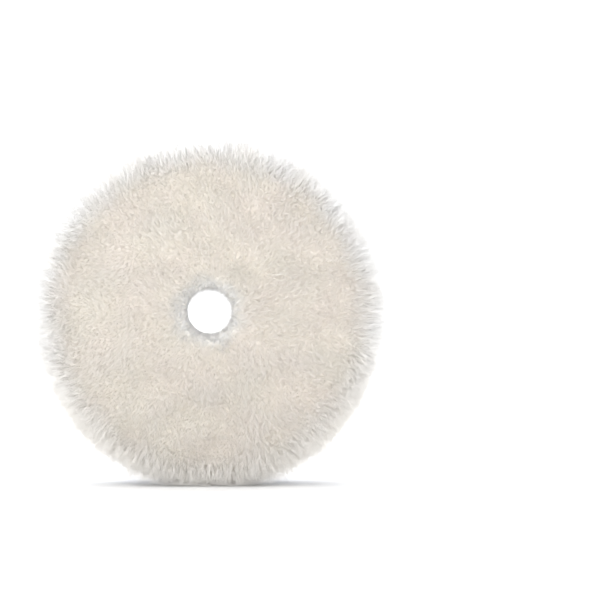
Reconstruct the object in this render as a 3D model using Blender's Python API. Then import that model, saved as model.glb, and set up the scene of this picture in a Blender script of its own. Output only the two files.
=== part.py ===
"""A wool polishing pad with a foam interface and a hook-and-loop back, standing on its edge.

The pad's axis lies along Y at AXIS_HEIGHT above the floor. The wool's working face looks towards -Y and
the loop face towards +Y. Every layer is a turned ring with the pad's centre hole through it, and depths
run along the axis from the wool's working face.
"""

import math

import bmesh
import bpy

# Clearance between neighbouring layers.
GAP = 0.0003

# Layer thicknesses, from the working face to the machine's side.
PILE_HEIGHT = 0.0150
WOOL_BACKING_THICKNESS = 0.0010
ADHESIVE_THICKNESS = 0.0004
FOAM_THICKNESS = 0.0054
LOOP_THICKNESS = 0.0016

# Radii.
PILE_RADIUS = 0.0815
PILE_REAR_RADIUS = 0.0807
WOOL_BACKING_RADIUS = 0.0778
FOAM_FRONT_RADIUS = 0.0770
FOAM_REAR_RADIUS = 0.0753
LOOP_RADIUS = 0.0750
ADHESIVE_RADIUS = 0.0745
HOLE_RADIUS = 0.0114
ADHESIVE_HOLE_RADIUS = 0.0118
WOOL_HOLE_RADIUS = 0.0104

# Roundings: the pile's crowned rim and its lips, the foam's soft edges, the loop fabric's cut edge.
CROWN_WIDTH = 0.0100
CROWN_DEPTH = 0.0085
PILE_LIP = 0.0040
PILE_REAR_DEPTH = 0.0040
FOAM_EDGE = 0.0010
LOOP_EDGE = 0.0004

# The weight of the pad presses the lowest wool flat.
FLOOR_SQUASH = 0.0015

SEGMENTS = 72
QUARTER_TURN = math.pi / 2

WOOL_BACKING_START = PILE_HEIGHT + GAP
FRONT_ADHESIVE_START = WOOL_BACKING_START + WOOL_BACKING_THICKNESS + GAP
FOAM_START = FRONT_ADHESIVE_START + ADHESIVE_THICKNESS + GAP
REAR_ADHESIVE_START = FOAM_START + FOAM_THICKNESS + GAP
LOOP_START = REAR_ADHESIVE_START + ADHESIVE_THICKNESS + GAP
PAD_THICKNESS = LOOP_START + LOOP_THICKNESS
AXIS_HEIGHT = PILE_RADIUS - FLOOR_SQUASH


def quarter_arc(radius, depth, width, height, start, steps=5):
    """(radius, depth) points of a quarter ellipse about a centre, turning from the angle start."""
    points = []
    for step in range(steps + 1):
        angle = start + QUARTER_TURN * step / steps
        points.append((radius + width * math.cos(angle), depth + height * math.sin(angle)))
    return points


def flat_ring(inner, outer, start, thickness):
    """Outline of a plain flat ring."""
    end = start + thickness
    return [(inner, start), (outer, start), (outer, end), (inner, end)]


def pile_outline():
    """Outline of the pile: a flat face with a crowned rim, and a soft lip round the centre hole."""
    crown_centre = PILE_RADIUS - CROWN_WIDTH
    outline = quarter_arc(
        WOOL_HOLE_RADIUS + PILE_LIP, PILE_LIP, PILE_LIP, PILE_LIP, 2 * QUARTER_TURN, steps=3
    )
    outline += quarter_arc(crown_centre, CROWN_DEPTH, CROWN_WIDTH, CROWN_DEPTH, 3 * QUARTER_TURN, steps=7)
    rear_width = PILE_RADIUS - PILE_REAR_RADIUS
    outline += quarter_arc(
        PILE_REAR_RADIUS, PILE_HEIGHT - PILE_REAR_DEPTH, rear_width, PILE_REAR_DEPTH, 0.0, steps=4
    )
    outline.append((WOOL_HOLE_RADIUS, PILE_HEIGHT))
    return outline


def foam_outline():
    """Outline of the foam: a cone that narrows towards the machine, with both outer edges softened."""
    end = FOAM_START + FOAM_THICKNESS
    outline = [(HOLE_RADIUS, FOAM_START)]
    outline += quarter_arc(
        FOAM_FRONT_RADIUS - FOAM_EDGE, FOAM_START + FOAM_EDGE, FOAM_EDGE, FOAM_EDGE, 3 * QUARTER_TURN, steps=3
    )
    outline += quarter_arc(
        FOAM_REAR_RADIUS - FOAM_EDGE, end - FOAM_EDGE, FOAM_EDGE, FOAM_EDGE, 0.0, steps=3
    )
    outline.append((HOLE_RADIUS, end))
    return outline


def loop_outline():
    """Outline of the loop fabric, with its outer rear edge broken."""
    return [
        (HOLE_RADIUS, LOOP_START),
        (LOOP_RADIUS, LOOP_START),
        (LOOP_RADIUS, PAD_THICKNESS - LOOP_EDGE),
        (LOOP_RADIUS - LOOP_EDGE, PAD_THICKNESS),
        (HOLE_RADIUS, PAD_THICKNESS),
    ]


def turn(outline):
    """A closed body turned about Z from an outline of (radius, depth) points."""
    body = bmesh.new()
    verts = [body.verts.new((radius, 0.0, depth)) for radius, depth in outline]
    edges = [body.edges.new((a, b)) for a, b in zip(verts, verts[1:] + verts[:1])]
    bmesh.ops.spin(
        body,
        geom=verts + edges,
        cent=(0.0, 0.0, 0.0),
        axis=(0.0, 0.0, 1.0),
        angle=2 * math.pi,
        steps=SEGMENTS,
        use_merge=True,
    )
    bmesh.ops.recalc_face_normals(body, faces=body.faces)
    return body


def press_flat(body):
    """Cuts the body off at the floor, which lies at +AXIS_HEIGHT along the turned body's own Y."""
    cut = bmesh.ops.bisect_plane(
        body,
        geom=body.verts[:] + body.edges[:] + body.faces[:],
        dist=1e-6,
        plane_co=(0.0, AXIS_HEIGHT, 0.0),
        plane_no=(0.0, 1.0, 0.0),
        clear_outer=True,
    )
    rim = [item for item in cut["geom_cut"] if isinstance(item, bmesh.types.BMEdge)]
    bmesh.ops.holes_fill(body, edges=rim)
    bmesh.ops.recalc_face_normals(body, faces=body.faces)


def make_material(name, colour, roughness):
    """A plain opaque material."""
    material = bpy.data.materials.new(name)
    material.use_nodes = True
    shader = material.node_tree.nodes["Principled BSDF"]
    shader.inputs["Base Color"].default_value = (*colour, 1.0)
    shader.inputs["Roughness"].default_value = roughness
    shader.inputs["Metallic"].default_value = 0.0
    return material


def add_layer(name, body, material, axis):
    """Turns a finished body into a named object on the pad's axis."""
    mesh = bpy.data.meshes.new(name)
    body.to_mesh(mesh)
    body.free()
    mesh.materials.append(material)
    mesh.shade_smooth()
    mesh.set_sharp_from_angle(angle=math.radians(35))
    layer = bpy.data.objects.new(name, mesh)
    layer.parent = axis
    bpy.context.scene.collection.objects.link(layer)


def add_axis():
    """The empty that stands the pad on its edge: its Z is the pad's axis, from wool to loops."""
    axis = bpy.data.objects.new("pad_axis", None)
    axis.location = (0.0, -PAD_THICKNESS / 2, AXIS_HEIGHT)
    axis.rotation_euler = (-QUARTER_TURN, 0.0, 0.0)
    bpy.context.scene.collection.objects.link(axis)
    return axis


def add_wool(axis):
    """The pile, and the knitted backing that its fibres are rooted in."""
    pile = turn(pile_outline())
    press_flat(pile)
    add_layer("wool_pile", pile, make_material("wool", (0.80, 0.75, 0.64), 0.95), axis)
    backing = turn(
        flat_ring(WOOL_HOLE_RADIUS, WOOL_BACKING_RADIUS, WOOL_BACKING_START, WOOL_BACKING_THICKNESS)
    )
    add_layer("wool_backing", backing, make_material("backing_knit", (0.84, 0.84, 0.82), 0.9), axis)


def add_foam(axis):
    """The resilient foam disc between the wool and the loop fabric."""
    add_layer("foam_interface", turn(foam_outline()), make_material("foam", (0.01, 0.20, 0.62), 0.8), axis)


def add_loop_fabric(axis):
    """The loop fabric that a backing plate's hooks grip."""
    add_layer("loop_backing", turn(loop_outline()), make_material("loop", (0.012, 0.012, 0.014), 0.9), axis)


def add_adhesive(axis):
    """The two bonding films, one on each side of the foam."""
    film = make_material("adhesive", (0.55, 0.55, 0.50), 0.5)
    for name, start in (("front_adhesive", FRONT_ADHESIVE_START), ("rear_adhesive", REAR_ADHESIVE_START)):
        outline = flat_ring(ADHESIVE_HOLE_RADIUS, ADHESIVE_RADIUS, start, ADHESIVE_THICKNESS)
        add_layer(name, turn(outline), film, axis)


def clear_scene():
    """Removes whatever the scene holds."""
    for item in list(bpy.data.objects):
        bpy.data.objects.remove(item, do_unlink=True)


clear_scene()
pad_axis = add_axis()
add_wool(pad_axis)
add_foam(pad_axis)
add_loop_fabric(pad_axis)
add_adhesive(pad_axis)
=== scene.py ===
import math

import bpy
import numpy as np
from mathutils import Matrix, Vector, noise
from mathutils.kdtree import KDTree


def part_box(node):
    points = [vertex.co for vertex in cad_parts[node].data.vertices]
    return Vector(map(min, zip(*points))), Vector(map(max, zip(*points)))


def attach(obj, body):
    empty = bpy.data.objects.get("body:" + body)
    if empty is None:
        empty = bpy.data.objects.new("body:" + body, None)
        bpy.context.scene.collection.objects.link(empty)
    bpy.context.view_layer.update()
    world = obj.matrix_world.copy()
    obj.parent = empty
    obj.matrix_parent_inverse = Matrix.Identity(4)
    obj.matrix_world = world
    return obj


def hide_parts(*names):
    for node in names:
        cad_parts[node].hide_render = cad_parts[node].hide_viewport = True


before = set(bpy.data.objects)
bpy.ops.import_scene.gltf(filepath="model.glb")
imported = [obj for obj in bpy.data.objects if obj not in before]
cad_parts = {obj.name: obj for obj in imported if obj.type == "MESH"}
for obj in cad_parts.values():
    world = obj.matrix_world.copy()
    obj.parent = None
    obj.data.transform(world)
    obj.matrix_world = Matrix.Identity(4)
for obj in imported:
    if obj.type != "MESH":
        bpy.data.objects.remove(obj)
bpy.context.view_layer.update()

# noise_vector takes its offsets from Blender's clock unless it is seeded.
NOISE_SEED = 3
noise.seed_set(NOISE_SEED)

# The pad's own measures, read from the frame. Its axis lies along Y, and depths run from the wool's face.
pile_low, pile_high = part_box("wool_pile")
knit_low, knit_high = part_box("wool_backing")
foam_low, foam_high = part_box("foam_interface")
loop_low, loop_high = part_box("loop_backing")
FRONT_Y = pile_low.y
AXIS_Z = (loop_low.z + loop_high.z) / 2
PILE_RADIUS = pile_high.x
PILE_DEPTH = pile_high.y - FRONT_Y
KNIT_RADIUS = knit_high.x
FOAM_RADIUS = foam_high.x
LOOP_RADIUS = loop_high.x
FILM_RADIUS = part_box("rear_adhesive")[1].x

# Measures that the boxes don't give, in metres.
HOLE_RADIUS = 0.0114
WOOL_HOLE_RADIUS = 0.0104
FOAM_REAR_RADIUS = 0.0753
FILM_HOLE_RADIUS = 0.0118

# The body of matted wool that the fibres grow from: how far it lies inside the pile's face and rim, the sizes
# of its rounded rim and hole edge, how much wider its hole is, how much further out it reaches at the knit,
# how deep its rim's curve is for its width, and how uneven it is.
CORE_INSET = 0.0044
CORE_RIM_INSET = 0.0065
CORE_CROWN = 0.0065
CORE_LIP = 0.0045
CORE_HOLE_GROWTH = 0.0004
CORE_REAR_FLARE = 0.0016
CORE_FLATNESS = 0.85
CORE_WOBBLE = 0.0007

# Every fibre is a three-sided tube, with its root this deep and its rings at these shares of its length; the
# last one is its point. So many to a piece keeps each mesh small enough for the export.
STRANDS_PER_PIECE = 18000
RING_STEPS = np.array([0.0, 0.50, 1.0])
SIDES = 3
ROOT_DEPTH = 0.0006
TAPER_POWER = 0.6

# The shapes of a fibre's curve along its length: how it bends over, leans and is pulled to its lock.
GROWTH_BEND = 1.4
LEAN_POWER = 1.7
PULL_POWER = 1.3

# Neighbouring locks of fibres drift the same way, more up and down than sideways, over patches of about
# 1 / DRIFT_SCALE metres. A wisp at the rim bunches this many locks.
DRIFT_SCALE = 70.0
DRIFT_SHAPE = np.array([0.65, 1.0, 1.35])
LOCKS_PER_WISP = 6

# Fibres that reach the floor lie along it, this far up and with this much unevenness. By these shares of what
# they are lifted, they splay away from the pad's middle, and forward or back.
FLOOR_LIFT = 0.0003
FLOOR_UNEVEN = 0.0008
SIDE_SPLAY = 0.5
DEPTH_SPLAY = 0.6

# The shortest and longest fibres, as shares of the usual length where they grow.
SHORTEST = 0.55
LONGEST = 1.35

# The pile is trimmed short round the hole, and reaches its full height further out.
TRIM_START = 0.0105
TRIM_END = 0.0170
TRIMMED_SHARE = 0.50

# How far fibres may stand proud of the pile's face and rim before they are eased back, and the room that is
# left beyond that. Those past the rear are turned forward by this many times their excess.
FACE_PROUD = 0.0035
FACE_ROOM = 0.0045
RIM_PROUD = 0.0030
RIM_ROOM = 0.0085
REAR_TURN = 1.5

# The fibres on the flank grow forward as well as outward, as they are combed.
FORWARD = np.array([0.0, -1.0, 0.0])

# Where the pile turns from face to rim, how much further outward it leans there, and how much looser its
# locks are.
EDGE_START = 0.0620
EDGE_END = 0.0780
EDGE_SPREAD = 0.75
EDGE_LOOSENING = 0.75


def place(radius, angle, depth):
    """Points at a radius and angle about the pad's axis, at a depth behind the wool's face."""
    points = np.broadcast_arrays(radius * np.cos(angle), FRONT_Y + depth, AXIS_Z + radius * np.sin(angle))
    return np.stack(points, -1)


def arc(centre, size, start, end, steps):
    """(radius, depth) points of an elliptical arc; angles are in quarter turns."""
    turns = np.linspace(start, end, steps) * math.pi / 2
    return [(centre[0] + size[0] * math.cos(a), centre[1] + size[1] * math.sin(a)) for a in turns]


# ---------------------------------------------------------------------------------------------------
# Node helpers


class Nodes:
    """Builds one material's node tree in a few readable calls."""

    def __init__(self, name):
        self.material = bpy.data.materials.new(name)
        self.material.use_nodes = True
        self.tree = self.material.node_tree
        self.shader = self.tree.nodes["Principled BSDF"]

    def add(self, kind, inputs=None, **settings):
        node = self.tree.nodes.new("ShaderNode" + kind)
        for key, value in settings.items():
            setattr(node, key, value)
        for key, value in (inputs or {}).items():
            self.feed(node.inputs[key], value)
        return node

    def feed(self, socket, value):
        if isinstance(value, bpy.types.NodeSocket):
            self.tree.links.new(value, socket)
        else:
            socket.default_value = value

    def maths(self, operation, a, b=0.0):
        return self.add("Math", {0: a, 1: b}, operation=operation).outputs[0]

    def place(self):
        """The point's place in the pad's frame."""
        return self.add("TexCoord").outputs["Object"]

    def noise(self, scale, detail=3.0, roughness=0.55):
        inputs = {"Vector": self.place(), "W": 0.0, "Scale": scale, "Detail": detail, "Roughness": roughness}
        return self.add("TexNoise", inputs, noise_dimensions="4D").outputs["Fac"]

    def mix(self, factor, a, b, blend="MIX"):
        node = self.add("Mix", data_type="RGBA", blend_type=blend)
        for index, value in ((0, factor), (6, a), (7, b)):
            self.feed(node.inputs[index], value)
        return node.outputs[2]

    def ramp(self, value, low, high, to_low=0.0, to_high=1.0):
        node = self.add(
            "MapRange",
            {"Value": value, "From Min": low, "From Max": high, "To Min": to_low, "To Max": to_high},
            interpolation_type="SMOOTHSTEP",
        )
        return node.outputs[0]

    def radius(self):
        """Distance from the pad's axis."""
        split = self.add("SeparateXYZ", {0: self.place()})
        up = self.maths("SUBTRACT", split.outputs["Z"], AXIS_Z)
        return self.length(split.outputs["X"], up)

    def length(self, a, b):
        """Length of the vector (a, b)."""
        square = self.maths("ADD", self.maths("POWER", a, 2.0), self.maths("POWER", b, 2.0))
        return self.maths("SQRT", square)

    def bump(self, height, strength, distance):
        node = self.add("Bump", {"Height": height, "Strength": strength, "Distance": distance})
        self.feed(self.shader.inputs["Normal"], node.outputs[0])

    def finish(self, colour, roughness, sheen=0.0, specular=0.3):
        """Feeds the shader and hands over the finished material."""
        self.feed(self.shader.inputs["Base Color"], colour)
        self.feed(self.shader.inputs["Roughness"], roughness)
        self.shader.inputs["Sheen Weight"].default_value = sheen
        self.shader.inputs["Sheen Roughness"].default_value = 0.5
        self.shader.inputs["Specular IOR Level"].default_value = specular
        return self.material


# ---------------------------------------------------------------------------------------------------
# Materials

# Wool: cream on the face. Painted light makes it whiter at the rim and brighter at the foot; painted
# shade makes it duller towards the knit, greyer round the hole and darker down between the fibres.
CREAM = (0.952, 0.922, 0.868, 1.0)
PINK_CREAM = (0.957, 0.917, 0.872, 1.0)
RIM_HIGHLIGHT_WOOL = (0.985, 0.983, 0.978, 1.0)
FOOT_LIGHT_WOOL = (0.992, 0.970, 0.932, 1.0)
REAR_SHADE_WOOL = (0.930, 0.926, 0.915, 1.0)
HOLE_SHADE_WOOL = (0.76, 0.756, 0.748, 1.0)
ROOT_SHADE_WOOL = (0.91, 0.88, 0.82, 1.0)


def at_rim(nodes):
    """0 on the face, rising unevenly to 1 at the rim, where the rim's painted light and shade take over."""
    radius = nodes.maths("ADD", nodes.radius(), nodes.ramp(nodes.noise(60.0), 0.3, 0.7, -0.003, 0.003))
    return nodes.ramp(radius, PILE_RADIUS - 0.019, PILE_RADIUS - 0.001)


def rim_light_and_shade(nodes):
    """Painted highlight on the rim; brighter, creamier painted light at the foot; painted shade at the knit.
    """
    split = nodes.add("SeparateXYZ", {0: nodes.place()})
    above_foot = nodes.ramp(split.outputs["Z"], 0.015, AXIS_Z)
    rear = nodes.ramp(split.outputs["Y"], FRONT_Y + 0.008, FRONT_Y + 0.013)
    return nodes.mix(rear, nodes.mix(above_foot, FOOT_LIGHT_WOOL, RIM_HIGHLIGHT_WOOL), REAR_SHADE_WOOL)


def wool_colour(nodes):
    """Cream wool with soft blotches, a painted highlight at the rim and painted shade round the hole."""
    blotch = nodes.ramp(nodes.noise(55.0, 2.0), 0.35, 0.65)
    cream = nodes.mix(blotch, CREAM, PINK_CREAM)
    radius = nodes.maths("ADD", nodes.radius(), nodes.ramp(nodes.noise(90.0), 0.3, 0.7, -0.002, 0.002))
    # The grey round the hole's lip is painted shade.
    at_hole = nodes.ramp(radius, WOOL_HOLE_RADIUS + 0.002, WOOL_HOLE_RADIUS + 0.009, 1.0, 0.0)
    return nodes.mix(at_rim(nodes), nodes.mix(at_hole, cream, HOLE_SHADE_WOOL), rim_light_and_shade(nodes))


def root_shade_colour(nodes):
    """Painted shade down between the fibres, which the rim's painted colours replace at the rim."""
    return nodes.mix(at_rim(nodes), ROOT_SHADE_WOOL, rim_light_and_shade(nodes))


def strand_material():
    """Loose fibres: darker at the roots as painted shade, each lock a little lighter or darker than the next.
    """
    nodes = Nodes("wool_fibre")
    along = nodes.add("Attribute", attribute_name="along").outputs["Fac"]
    tone = nodes.add("Attribute", attribute_name="tone").outputs["Fac"]
    # Painted shade: the fibres darken towards their roots.
    depth = nodes.ramp(along, 0.0, 0.75, 0.12, 0.0)
    colour = nodes.mix(depth, wool_colour(nodes), root_shade_colour(nodes))
    brightness = nodes.ramp(tone, -1.0, 1.0, 0.97, 1.01)
    shade = nodes.add("CombineColor", {0: brightness, 1: brightness, 2: brightness}).outputs[0]
    colour = nodes.mix(1.0, colour, shade, blend="MULTIPLY")
    roughness = nodes.ramp(nodes.noise(900.0, 1.0), 0.3, 0.7, 0.72, 0.92)
    return nodes.finish(colour, roughness, sheen=0.25, specular=0.25)


def core_material():
    """The matted wool under the loose fibres, darker in the hollows of its clumps as painted shade."""
    nodes = Nodes("wool_mat")
    clumps = nodes.noise(420.0, 4.0, 0.65)
    colour = nodes.mix(nodes.ramp(clumps, 0.3, 0.7), root_shade_colour(nodes), wool_colour(nodes))
    nodes.bump(clumps, 0.5, 0.0010)
    return nodes.finish(colour, nodes.ramp(clumps, 0.3, 0.7, 0.95, 0.8), sheen=0.2, specular=0.2)


FOAM_BLUE = (0.003, 0.115, 0.43, 1.0)
FOAM_PALE_BLUE = (0.009, 0.18, 0.56, 1.0)
FOAM_PORE_SHADE = (0.001, 0.050, 0.23, 1.0)


def foam_material():
    """Blue open-cell foam: round pores of under a millimetre, darkened as painted shade, between paler walls.
    """
    nodes = Nodes("foam_cells")
    patches = nodes.noise(700.0, 2.0)
    cells = nodes.add("TexVoronoi", {"Vector": nodes.place(), "Scale": 1500.0}).outputs["Distance"]
    wall = nodes.ramp(cells, 0.15, 0.75)
    body = nodes.mix(nodes.ramp(patches, 0.3, 0.7), FOAM_BLUE, FOAM_PALE_BLUE)
    colour = nodes.mix(wall, FOAM_PORE_SHADE, body)
    height = nodes.maths("ADD", wall, nodes.maths("MULTIPLY", patches, 0.6))
    nodes.bump(height, 0.7, 0.0004)
    return nodes.finish(colour, nodes.ramp(cells, 0.1, 0.8, 0.9, 0.62), sheen=0.15, specular=0.3)


def knit_material():
    """Off-white knit with fine courses, seen edge on, darker in the grooves between them as painted shade."""
    nodes = Nodes("knit_backing")
    inputs = {"Vector": nodes.place(), "Scale": 320.0, "Distortion": 2.5, "Detail": 2.0}
    courses = nodes.add("TexWave", inputs, bands_direction="X").outputs["Fac"]
    colour = nodes.mix(courses, (0.50, 0.50, 0.48, 1.0), (0.78, 0.77, 0.74, 1.0))
    nodes.bump(courses, 0.6, 0.0003)
    return nodes.finish(colour, nodes.ramp(courses, 0.0, 1.0, 0.9, 0.75), sheen=0.2, specular=0.25)


def film_material():
    """A hot-melt bonding film: cloudy, with small trapped bubbles."""
    nodes = Nodes("bonding_film")
    cloud = nodes.noise(180.0, 4.0)
    bubbles = nodes.add("TexVoronoi", {"Vector": nodes.place(), "Scale": 600.0}).outputs["Distance"]
    colour = nodes.mix(nodes.ramp(cloud, 0.3, 0.7), (0.50, 0.50, 0.44, 1.0), (0.66, 0.66, 0.60, 1.0))
    nodes.bump(nodes.ramp(bubbles, 0.1, 0.5), 0.3, 0.0001)
    return nodes.finish(colour, nodes.ramp(cloud, 0.2, 0.8, 0.35, 0.6), specular=0.4)


# The generic printed mark: a ring with a dot above the hole, and two plain bars below it. For each bar: its
# height above the pad's axis, half its length and half its thickness.
MARK_RING_UP = 0.038
MARK_RING_RADIUS = 0.0085
MARK_RING_LINE = 0.0011
MARK_DOT_RADIUS = 0.0028
MARK_BARS = ((-0.0300, 0.0190, 0.0013), (-0.0365, 0.0110, 0.0013))


def mark_mask(nodes):
    """1 where the loop fabric is printed, 0 elsewhere."""
    split = nodes.add("SeparateXYZ", {0: nodes.place()})
    across = split.outputs["X"]
    up = nodes.maths("SUBTRACT", split.outputs["Z"], AXIS_Z)
    distance = nodes.length(across, nodes.maths("SUBTRACT", up, MARK_RING_UP))
    off_ring = nodes.maths("ABSOLUTE", nodes.maths("SUBTRACT", distance, MARK_RING_RADIUS))
    mask = nodes.maths("LESS_THAN", off_ring, MARK_RING_LINE)
    mask = nodes.maths("MAXIMUM", mask, nodes.maths("LESS_THAN", distance, MARK_DOT_RADIUS))
    for bar_up, half_length, half_line in MARK_BARS:
        off_bar = nodes.maths("ABSOLUTE", nodes.maths("SUBTRACT", up, bar_up))
        inside = nodes.maths(
            "MULTIPLY",
            nodes.maths("LESS_THAN", off_bar, half_line),
            nodes.maths("LESS_THAN", nodes.maths("ABSOLUTE", across), half_length),
        )
        mask = nodes.maths("MAXIMUM", mask, inside)
    return mask


LOOP_BLACK = (0.0010, 0.0010, 0.0012, 1.0)
LOOP_GLINT = (0.0050, 0.0050, 0.0058, 1.0)
LOOP_WORN = (0.0075, 0.0075, 0.0082, 1.0)
THIN_INK = (0.30, 0.30, 0.31, 1.0)
FULL_INK = (0.80, 0.80, 0.80, 1.0)


def loop_material():
    """Black brushed loop fabric with the printed mark; ink doesn't reach every loop."""
    nodes = Nodes("loop_fabric")
    tufts = nodes.noise(1600.0, 3.0, 0.7)
    wear = nodes.noise(90.0, 3.0)
    # Painted glints: the tufts' tops are lighter.
    black = nodes.mix(nodes.ramp(tufts, 0.35, 0.75), LOOP_BLACK, LOOP_GLINT)
    black = nodes.mix(nodes.ramp(wear, 0.45, 0.75, 0.0, 0.35), black, LOOP_WORN)
    inked = nodes.mix(nodes.ramp(tufts, 0.25, 0.45), THIN_INK, FULL_INK)
    colour = nodes.mix(mark_mask(nodes), black, inked)
    nodes.bump(tufts, 0.7, 0.0004)
    return nodes.finish(colour, nodes.ramp(tufts, 0.3, 0.7, 0.95, 0.75), specular=0.04)


def floor_material():
    """White studio paper, painted greyer near the pad as painted shade, so that its shadow shows."""
    nodes = Nodes("studio_paper")
    grain = nodes.noise(40.0, 4.0)
    distance = nodes.add("VectorMath", {0: nodes.place()}, operation="LENGTH").outputs["Value"]
    far = nodes.ramp(distance, 0.06, 0.45)
    paper = nodes.mix(far, (0.68, 0.68, 0.68, 1.0), (0.96, 0.96, 0.96, 1.0))
    colour = nodes.mix(nodes.ramp(grain, 0.2, 0.8, 0.0, 0.02), paper, (0.7, 0.7, 0.7, 1.0))
    return nodes.finish(colour, 0.8, specular=0.1)


# ---------------------------------------------------------------------------------------------------
# Turned layers

# The spacing of the points along an outline.
OUTLINE_SPACING = 0.0012


def add_piece(name, mesh, material, replaces=()):
    """Links a finished mesh as a piece that rides on the pad."""
    mesh.materials.append(material)
    piece = bpy.data.objects.new(name, mesh)
    bpy.context.scene.collection.objects.link(piece)
    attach(piece, "root")
    if replaces:
        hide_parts(*replaces)
    return piece


def turned_mesh(name, outline, segments, wobble, wobble_scale):
    """A closed mesh turned about the pad's axis from (radius, depth) points, uneven by up to the wobble."""
    outline = np.array(outline)
    angles = np.arange(segments) * 2 * math.pi / segments
    points = place(outline[None, :, 0], angles[:, None], outline[None, :, 1]).reshape(-1, 3)
    points = [Vector(p) + wobble * noise.noise_vector(Vector(p) * wobble_scale) for p in points]
    count = len(outline)
    faces = []
    for turn in range(segments):
        here, there = turn * count, (turn + 1) % segments * count
        for step in range(count):
            after = (step + 1) % count
            faces.append((here + step, here + after, there + after, there + step))
    mesh = bpy.data.meshes.new(name)
    mesh.from_pydata(points, [], faces)
    mesh.update()
    mesh.shade_smooth()
    mesh.set_sharp_from_angle(angle=math.radians(40))
    return mesh


def evenly(outline, spacing):
    """The same outline, from its first point to its last, with a point about every spacing along it."""
    points = []
    for (r0, d0), (r1, d1) in zip(outline, outline[1:]):
        steps = max(1, round(math.hypot(r1 - r0, d1 - d0) / spacing))
        points += [(r0 + (r1 - r0) * k / steps, d0 + (d1 - d0) * k / steps) for k in range(steps)]
    return points + outline[-1:]


def evenly_closed(outline, spacing):
    """The same closed outline with a point about every spacing along it."""
    return evenly(outline + outline[:1], spacing)[:-1]


def core_outline():
    """Front of the matted wool from the hole to the rim, as (radius, depth) points."""
    face_radius = PILE_RADIUS - CORE_RIM_INSET - CORE_CROWN
    crown_depth = CORE_CROWN * CORE_FLATNESS
    lip_radius = WOOL_HOLE_RADIUS + CORE_HOLE_GROWTH + CORE_LIP
    lip = arc((lip_radius, CORE_INSET + CORE_LIP), (CORE_LIP, CORE_LIP), 2, 3, 8)
    crown = arc((face_radius, CORE_INSET + crown_depth), (CORE_CROWN, crown_depth), 3, 4, 12)
    return lip + crown + [(PILE_RADIUS - CORE_RIM_INSET + CORE_REAR_FLARE, PILE_DEPTH)]


def add_core():
    """The matted wool, whose loose fibres add_wool makes."""
    outline = core_outline() + [(WOOL_HOLE_RADIUS + CORE_HOLE_GROWTH, PILE_DEPTH)]
    outline = evenly_closed(outline, OUTLINE_SPACING)
    mesh = turned_mesh("wool_core", outline, segments=400, wobble=CORE_WOBBLE, wobble_scale=500.0)
    core = add_piece("wool_core", mesh, core_material(), ["wool_pile"])


def add_foam():
    """The foam laps round the bonding films' edges, so that the layers meet at the outside."""
    front = knit_high.y - FRONT_Y
    rear = loop_low.y - FRONT_Y
    start, end = foam_low.y - FRONT_Y, foam_high.y - FRONT_Y
    lap = 0.0001
    outer = FILM_RADIUS + lap
    inner = FILM_HOLE_RADIUS - lap
    soft = 0.0008
    crisp = 0.0004
    outline = [(inner, start), (outer, start), (outer, front + lap)]
    outline += arc((FOAM_RADIUS - soft, front + lap + soft), (soft, soft), 3, 4, 4)
    outline += arc((FOAM_REAR_RADIUS - crisp, rear - lap - crisp), (crisp, crisp), 4, 5, 4)
    outline += [(outer, rear - lap), (outer, end), (inner, end), (inner, rear - lap)]
    outline += [(HOLE_RADIUS, rear - lap), (HOLE_RADIUS, front + lap), (inner, front + lap)]
    outline = evenly_closed(outline, OUTLINE_SPACING)
    mesh = turned_mesh("foam_disc", outline, segments=720, wobble=0.00022, wobble_scale=900.0)
    foam = add_piece("foam_disc", mesh, foam_material(), ["foam_interface"])


def add_knit():
    """The knit that the fibres are rooted in, with a rounded edge."""
    start, end = knit_low.y - FRONT_Y, knit_high.y - FRONT_Y
    round_edge = (end - start) / 2
    outline = arc((KNIT_RADIUS - round_edge, start + round_edge), (round_edge, round_edge), 3, 5, 7)
    outline += [(WOOL_HOLE_RADIUS, end), (WOOL_HOLE_RADIUS, start)]
    outline = evenly_closed(outline, OUTLINE_SPACING)
    mesh = turned_mesh("knit_backing", outline, segments=720, wobble=0.00012, wobble_scale=1200.0)
    knit = add_piece("knit_backing", mesh, knit_material(), ["wool_backing"])


def add_loop_fabric():
    """The loop fabric with its nap."""
    start, end = loop_low.y - FRONT_Y, loop_high.y - FRONT_Y
    soft = 0.0004
    outline = [(HOLE_RADIUS, start), (LOOP_RADIUS, start)]
    outline += arc((LOOP_RADIUS - soft, end - soft), (soft, soft), 4, 5, 4)
    outline += [(HOLE_RADIUS + soft, end), (HOLE_RADIUS, end - soft)]
    outline = evenly_closed(outline, OUTLINE_SPACING)
    mesh = turned_mesh("loop_fabric", outline, segments=480, wobble=0.00008, wobble_scale=700.0)
    material = loop_material()
    fabric = add_piece("loop_fabric", mesh, material, ["loop_backing"])
    nap = add_loop_nap(material)


# ---------------------------------------------------------------------------------------------------
# Strands


def unit(vectors):
    """The same vectors, scaled to length 1."""
    return vectors / np.maximum(np.linalg.norm(vectors, axis=-1, keepdims=True), 1e-12)


def strand_faces(rings):
    """Corner numbers of one strand: quads between its rings, triangles to its point and across its root."""
    quads = []
    for ring in range(rings - 2):
        here, there = ring * SIDES, (ring + 1) * SIDES
        for k in range(SIDES):
            after = (k + 1) % SIDES
            quads.append((here + k, here + after, there + after, there + k))
    last = (rings - 2) * SIDES
    point = last + SIDES
    triangles = [(last + k, last + (k + 1) % SIDES, point) for k in range(SIDES)]
    triangles.append(tuple(reversed(range(SIDES))))
    return np.array(quads), np.array(triangles)


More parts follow.
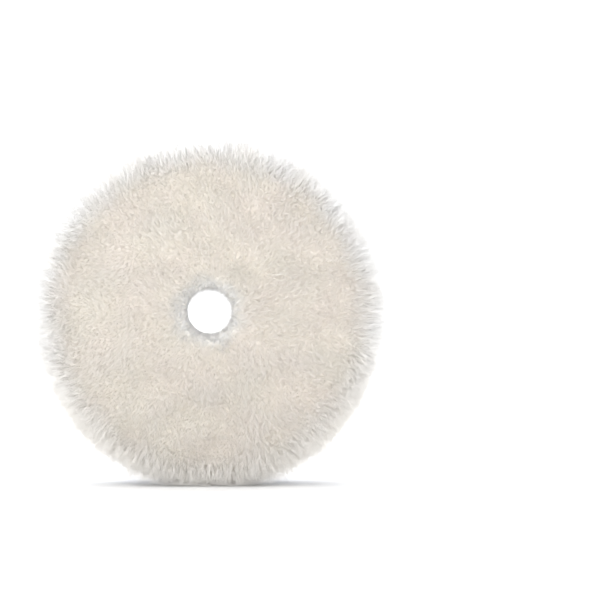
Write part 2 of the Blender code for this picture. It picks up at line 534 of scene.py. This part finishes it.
def strand_mesh(name, paths, widths, tone, rng):
    """One closed, tapering, three-sided tube along each path, ending in a point."""
    count, rings = paths.shape[:2]
    along = unit(np.gradient(paths, axis=1))
    side = unit(np.cross(along[:, :1], rng.normal(size=(count, 1, 3))))
    side = unit(side - (side * along).sum(-1, keepdims=True) * along)
    other = np.cross(along, side)
    taper = widths[:, None] * (1.0 - RING_STEPS[None, :]) ** TAPER_POWER
    turns = np.arange(SIDES) * 2 * math.pi / SIDES
    spokes = side[:, :-1, None] * np.cos(turns)[:, None] + other[:, :-1, None] * np.sin(turns)[:, None]
    tube = paths[:, :-1, None] + spokes * taper[:, :-1, None, None]
    verts = np.concatenate([tube.reshape(count, -1, 3), paths[:, -1:]], 1)
    per_strand = verts.shape[1]

    quads, triangles = strand_faces(rings)
    base = np.arange(count)[:, None, None] * per_strand
    quads = (base + quads).reshape(-1)
    triangles = (base + triangles).reshape(-1)

    mesh = bpy.data.meshes.new(name)
    mesh.vertices.add(count * per_strand)
    mesh.vertices.foreach_set("co", verts.astype(np.float32).ravel())
    corners = np.concatenate([quads, triangles])
    starts = np.concatenate([np.arange(0, len(quads), 4), len(quads) + np.arange(0, len(triangles), 3)])
    mesh.loops.add(len(corners))
    mesh.loops.foreach_set("vertex_index", corners.astype(np.int32))
    mesh.polygons.add(len(starts))
    mesh.polygons.foreach_set("loop_start", starts.astype(np.int32))
    mesh.update(calc_edges=True)
    mesh.shade_smooth()
    steps = np.append(np.repeat(RING_STEPS[:-1], SIDES), 1.0)
    for label, values in (("along", np.tile(steps, count)), ("tone", np.repeat(tone, per_strand))):
        layer = mesh.attributes.new(label, "FLOAT", "POINT")
        layer.data.foreach_set("value", values.astype(np.float32))
    return mesh


# The fractions of the plastic number, whose multiples fill a square evenly.
EVEN_FIRST = 0.7548776662
EVEN_SECOND = 0.5698402910


def scatter(outline, count, rng):
    """Evenly spread places on the surface turned from an outline, and their normals."""
    outline = np.array(outline)
    steps = np.diff(outline, axis=0)
    lengths = np.linalg.norm(steps, axis=1)
    areas = lengths * (outline[:-1, 0] + outline[1:, 0])
    total = np.concatenate([[0.0], np.cumsum(areas)]) / areas.sum()
    index = np.arange(count)
    first = (0.5 + index * EVEN_FIRST + rng.normal(0, 0.2, count) / count**0.5) % 1.0
    second = (0.5 + index * EVEN_SECOND + rng.normal(0, 0.2, count) / count**0.5) % 1.0
    stretch = np.clip(np.searchsorted(total, first) - 1, 0, len(steps) - 1)
    share = (first - total[stretch]) / (total[stretch + 1] - total[stretch])
    spot = outline[stretch] + steps[stretch] * share[:, None]
    angle = second * 2 * math.pi
    slope = steps[stretch] / lengths[stretch, None]
    outward, forward = slope[:, 1], -slope[:, 0]
    normal = np.stack([outward * np.cos(angle), forward, outward * np.sin(angle)], -1)
    return place(spot[:, 0], angle, spot[:, 1]), unit(normal)


def across(vectors, normals):
    """The part of each vector that lies in the surface."""
    return vectors - (vectors * normals).sum(-1, keepdims=True) * normals


def gather(roots, centres):
    """Index of the nearest lock centre to each root."""
    tree = KDTree(len(centres))
    for index, centre in enumerate(centres):
        tree.insert(centre, index)
    tree.balance()
    return np.array([tree.find(root)[1] for root in roots])


def rest_on_floor(paths, rng):
    """Fibres that would pass through the floor lie along it instead, pushed out sideways."""
    floor = FLOOR_LIFT + rng.uniform(0, FLOOR_UNEVEN, len(paths))[:, None]
    below = np.maximum(floor - paths[..., 2], 0.0)
    paths[..., 2] += below
    paths[..., 0] += below * SIDE_SPLAY * np.sign(paths[..., 0])
    paths[..., 1] += below * DEPTH_SPLAY * rng.uniform(-1, 1, len(paths))[:, None]


def drift(points):
    """A smooth field of directions, so that neighbouring locks lie about the same way."""
    field = np.array([noise.noise_vector(Vector(point) * DRIFT_SCALE) for point in points])
    return field * DRIFT_SHAPE


def outward(points):
    """Unit vectors away from the pad's axis."""
    away = points - np.array([0.0, 0.0, AXIS_Z])
    away[:, 1] = 0.0
    return unit(away)


def rising(points, start, end):
    """0 inside the start radius, rising smoothly to 1 at the end radius."""
    radius = np.hypot(points[:, 0], points[:, 2] - AXIS_Z)
    share = np.clip((radius - start) / (end - start), 0.0, 1.0)
    return share**2 * (3.0 - 2.0 * share)


def comb(roots, normals, style, rng):
    """Paths of fibres gathered into pointed locks that lean, curl and crimp, and each fibre's tone."""
    count = len(roots)
    locks = max(8, round(count / style["per_lock"]))
    centres, centre_normals = scatter(style["outline"], locks, rng)
    lock = gather(roots, centres)
    edge = rising(centres, EDGE_START, EDGE_END)[:, None]
    away = outward(centres)
    way = away * (style["outward"] + EDGE_SPREAD * edge)
    way = way + drift(centres) * (style["drift"] * (1.0 - 0.6 * edge))
    lean = across(way + rng.normal(0, style["unrest"], (locks, 3)), centre_normals)
    wisps, _ = scatter(style["outline"], max(8, locks // LOCKS_PER_WISP), rng)
    bunch = across(wisps[gather(centres, wisps)] - centres, centre_normals) * (style["wisp"] * edge)
    lean = lean[lock] + across(rng.normal(0, style["stray"], (count, 3)), normals)
    reach = style["height"] * (1.0 + style["edge_growth"] * edge[:, 0])
    reach = reach * (TRIMMED_SHARE + (1.0 - TRIMMED_SHARE) * rising(centres, TRIM_START, TRIM_END))
    uneven = rng.normal(1.0, style["uneven"], locks)[lock] * rng.normal(1.0, style["uneven"] * 0.7, count)
    height = reach[lock] * np.clip(uneven, SHORTEST, LONGEST)
    tightness = style["gather"] * (1.0 - EDGE_LOOSENING * edge)
    pull = across(centres[lock] - roots, normals) * tightness[lock] + bunch[lock]
    steps = RING_STEPS[None, :, None]
    rise = np.sin(steps * GROWTH_BEND) / math.sin(GROWTH_BEND)
    crimp = rng.normal(0, style["crimp"], (count, 1, 3))
    flank = np.clip((centre_normals * away).sum(1, keepdims=True), 0.0, 1.0) ** 3
    growth = unit(normals + FORWARD * (style["tilt"] * flank)[lock])
    paths = roots[:, None] - normals[:, None] * ROOT_DEPTH
    paths = paths + growth[:, None] * (height[:, None, None] * rise)
    paths = paths + lean[:, None] * (height[:, None, None] * steps**LEAN_POWER)
    paths = paths + pull[:, None] * steps**PULL_POWER
    paths = paths + crimp * np.sin(steps * math.pi)
    tone = 0.55 * rng.uniform(-1, 1, locks)[lock] + 0.45 * rng.uniform(-1, 1, count)
    return paths, tone


def hold_back(values, start, room):
    """Leaves values below the start alone, and eases larger ones off so that none passes start + room."""
    over = np.maximum(values - start, 0.0)
    return np.minimum(values, start) + room * np.tanh(over / room)


def keep_in_pile(paths, rear):
    """Eases straying fibres back, and turns those that would pass the rear depth forward again."""
    depth = paths[..., 1] - FRONT_Y
    depth = -hold_back(-depth, FACE_PROUD, FACE_ROOM)
    past_rear = np.maximum(depth - rear, 0.0)
    paths[..., 1] = FRONT_Y + depth - past_rear * REAR_TURN
    up = paths[..., 2] - AXIS_Z
    radius = np.hypot(paths[..., 0], up)
    share = hold_back(radius, PILE_RADIUS + RIM_PROUD, RIM_ROOM) / radius
    paths[..., 0] *= share
    paths[..., 2] = AXIS_Z + up * share


def add_coat(name, style, count, material, rng):
    """A coat of fibres in as many pieces as it needs. A rim-only coat thins out to nothing on the face."""
    roots, normals = scatter(style["outline"], count, rng)
    if style["rim_only"]:
        kept = rng.uniform(size=count) < rising(roots, EDGE_START, EDGE_END)
        roots, normals = roots[kept], normals[kept]
        count = len(roots)
    paths, tone = comb(roots, normals, style, rng)
    keep_in_pile(paths, style["rear"])
    rest_on_floor(paths, rng)
    widths = style["width"] * rng.uniform(0.7, 1.2, count)
    parts = math.ceil(count / STRANDS_PER_PIECE)
    for part in range(parts):
        label = f"{name}_{part + 1}" if parts > 1 else name
        mesh = strand_mesh(label, paths[part::parts], widths[part::parts], tone[part::parts], rng)
        add_piece(label, mesh, material)


# A coat's style says how many fibres make a lock; how far locks lean outward, with their neighbours (drift)
# and at random (unrest), and fibres from their lock (stray); the fibres' length (height), its growth at the
# rim and its spread (uneven); how far tips are drawn to their lock (gather) and rim locks to their wisp; the
# bow (crimp) and the root's radius (width) of a fibre; the forward tilt on the flank; and the depth past
# which fibres are turned forward (rear).
WOOL_SEED = 20
PILE_FIBRES = 150000
FRINGE_FIBRES = 60000
STRAY_FIBRES = 9000
ROOT_TUFTS = 14000


def add_wool():
    """The pile, a finer fringe and stray fibres round the rim, and root tufts along the knit's edge."""
    rng = np.random.default_rng(WOOL_SEED)
    material = strand_material()
    outline = evenly(core_outline(), 0.001)
    rim = [point for point in outline if point[0] > EDGE_START]
    pile_style = {
        "outline": outline, "per_lock": 5, "outward": 0.35, "drift": 0.65, "unrest": 0.16, "stray": 0.14,
        "height": 0.0046, "edge_growth": 0.8, "uneven": 0.12, "gather": 0.62, "wisp": 0.2,
        "crimp": 0.0003, "width": 0.00007, "rim_only": False, "tilt": 1.0, "rear": PILE_DEPTH,
    }
    fringe_style = dict(
        pile_style, outline=rim, rim_only=True, per_lock=7, edge_growth=1.6, uneven=0.22, wisp=0.4,
        width=0.000045,
    )
    stray_style = dict(
        fringe_style, width=0.00003, stray=0.35, gather=0.2, uneven=0.3, edge_growth=1.7,
    )
    knit_start, knit_end = knit_low.y - FRONT_Y, knit_high.y - FRONT_Y
    root_style = dict(
        pile_style, outline=[(KNIT_RADIUS, knit_start), (KNIT_RADIUS, knit_end)], per_lock=14, unrest=0.5,
        stray=0.35, height=0.0013, edge_growth=0.3, uneven=0.35, gather=0.7, width=0.00005, tilt=0.5,
        rear=knit_end + 0.0007,
    )
    add_coat("wool_pile", pile_style, PILE_FIBRES, material, rng)
    add_coat("wool_fringe", fringe_style, FRINGE_FIBRES, material, rng)
    add_coat("wool_stray", stray_style, STRAY_FIBRES, material, rng)
    add_coat("wool_roots", root_style, ROOT_TUFTS, material, rng)


NAP_SEED = 5
NAP_LOOPS = 14000
NAP_HEIGHT = 0.00055
NAP_REACH = 2.2
NAP_WIDTH = 0.00003
NAP_ROOT_DEPTH = 0.0001
NAP_EDGE_ROOM = 0.0004


def add_loop_nap(material):
    """Fine nylon loops standing on the loop fabric."""
    rng = np.random.default_rng(NAP_SEED)
    surface = loop_high.y - FRONT_Y
    outline = [(LOOP_RADIUS - NAP_EDGE_ROOM, surface), (HOLE_RADIUS + NAP_EDGE_ROOM, surface)]
    roots, normals = scatter(outline, NAP_LOOPS, rng)
    side = unit(across(rng.normal(size=(NAP_LOOPS, 3)), normals))[:, None]
    reach = NAP_HEIGHT * rng.uniform(0.7, 1.4, NAP_LOOPS)[:, None, None]
    steps = RING_STEPS[None, :, None]
    paths = roots[:, None] - normals[:, None] * NAP_ROOT_DEPTH
    paths = paths + normals[:, None] * reach * np.sin(steps * math.pi) * 0.9
    paths = paths + side * reach * NAP_REACH * steps
    mesh = strand_mesh("loop_nap", paths, np.full(NAP_LOOPS, NAP_WIDTH), np.zeros(NAP_LOOPS), rng)
    return add_piece("loop_nap", mesh, material)


# ---------------------------------------------------------------------------------------------------
# Studio

# The picture is this wide where the pad stands, and the camera aims to the right of the pad and above it.
CAMERA_DISTANCE = 1.10
CAMERA_AZIMUTH = math.radians(2.1)
CAMERA_ELEVATION = math.radians(3.5)
FRAME_WIDTH = 0.2765
SENSOR_WIDTH = 36.0
AIM_RIGHT = 0.0418
AIM_UP = 0.0055

# White wool is lit mostly by light passed on from fibre to fibre, so it needs many bounces.
LIGHT_BOUNCES = 16
SURROUND_STRENGTH = 1.27
FLOOR_HALF = 6.0

# Name, place, side in metres and power in watts of each softbox.
SOFTBOXES = (
    ("key_softbox", (0.00, 0.32, 1.20), 1.0, 11.5),
    ("right_softbox", (1.10, 0.15, 0.40), 0.9, 5.0),
    ("left_softbox", (-0.88, -0.22, 0.70), 1.4, 10.5),
    ("front_softbox", (-0.10, -1.6, 0.06), 0.9, 8.2),
)


def add_camera():
    """Looks at the wool face from slightly to its right and slightly above."""
    centre = Vector((0.0, FRONT_Y + PILE_DEPTH / 2, AXIS_Z))
    away = Vector(
        (
            math.sin(CAMERA_AZIMUTH) * math.cos(CAMERA_ELEVATION),
            -math.cos(CAMERA_AZIMUTH) * math.cos(CAMERA_ELEVATION),
            math.sin(CAMERA_ELEVATION),
        )
    )
    right = Vector((math.cos(CAMERA_AZIMUTH), math.sin(CAMERA_AZIMUTH), 0.0))
    aim = centre + right * AIM_RIGHT + Vector((0.0, 0.0, AIM_UP))
    data = bpy.data.cameras.new("camera")
    data.sensor_width = SENSOR_WIDTH
    data.lens = SENSOR_WIDTH * CAMERA_DISTANCE / FRAME_WIDTH
    data.clip_end = 50.0
    camera = bpy.data.objects.new("camera", data)
    camera.location = centre + away * CAMERA_DISTANCE
    camera.rotation_mode = "QUATERNION"
    camera.rotation_quaternion = (aim - camera.location).to_track_quat("-Z", "Y")
    bpy.context.scene.collection.objects.link(camera)
    bpy.context.scene.camera = camera


def add_softbox(name, location, size, power):
    """A square softbox aimed at the pad."""
    data = bpy.data.lights.new(name, "AREA")
    data.shape = "SQUARE"
    data.size = size
    data.energy = power
    light = bpy.data.objects.new(name, data)
    light.location = location
    aim = Vector((0.0, 0.0, AXIS_Z)) - light.location
    light.rotation_mode = "QUATERNION"
    light.rotation_quaternion = aim.to_track_quat("-Z", "Y")
    bpy.context.scene.collection.objects.link(light)


def add_floor():
    """A wide sheet of white paper."""
    half = FLOOR_HALF
    corners = [(-half, -half, 0), (half, -half, 0), (half, half, 0), (-half, half, 0)]
    mesh = bpy.data.meshes.new("floor")
    mesh.from_pydata(corners, [], [(0, 1, 2, 3)])
    mesh.materials.append(floor_material())
    floor = bpy.data.objects.new("floor", mesh)
    bpy.context.scene.collection.objects.link(floor)


def add_studio():
    """An even white surround, the floor and the softboxes."""
    world = bpy.data.worlds.new("studio")
    world.use_nodes = True
    background = world.node_tree.nodes["Background"]
    background.inputs["Color"].default_value = (1.0, 1.0, 1.0, 1.0)
    background.inputs["Strength"].default_value = SURROUND_STRENGTH
    scene = bpy.context.scene
    scene.world = world
    scene.view_settings.view_transform = "Standard"
    scene.cycles.diffuse_bounces = LIGHT_BOUNCES
    scene.cycles.max_bounces = LIGHT_BOUNCES
    add_floor()
    for softbox in SOFTBOXES:
        add_softbox(*softbox)


def add_films():
    """The bonding films keep their own shapes, and get a film's material."""
    film = film_material()
    for node in ("front_adhesive", "rear_adhesive"):
        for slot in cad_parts[node].material_slots:
            slot.material = film


add_camera()
add_studio()
add_core()
add_wool()
add_knit()
add_foam()
add_loop_fabric()
add_films()
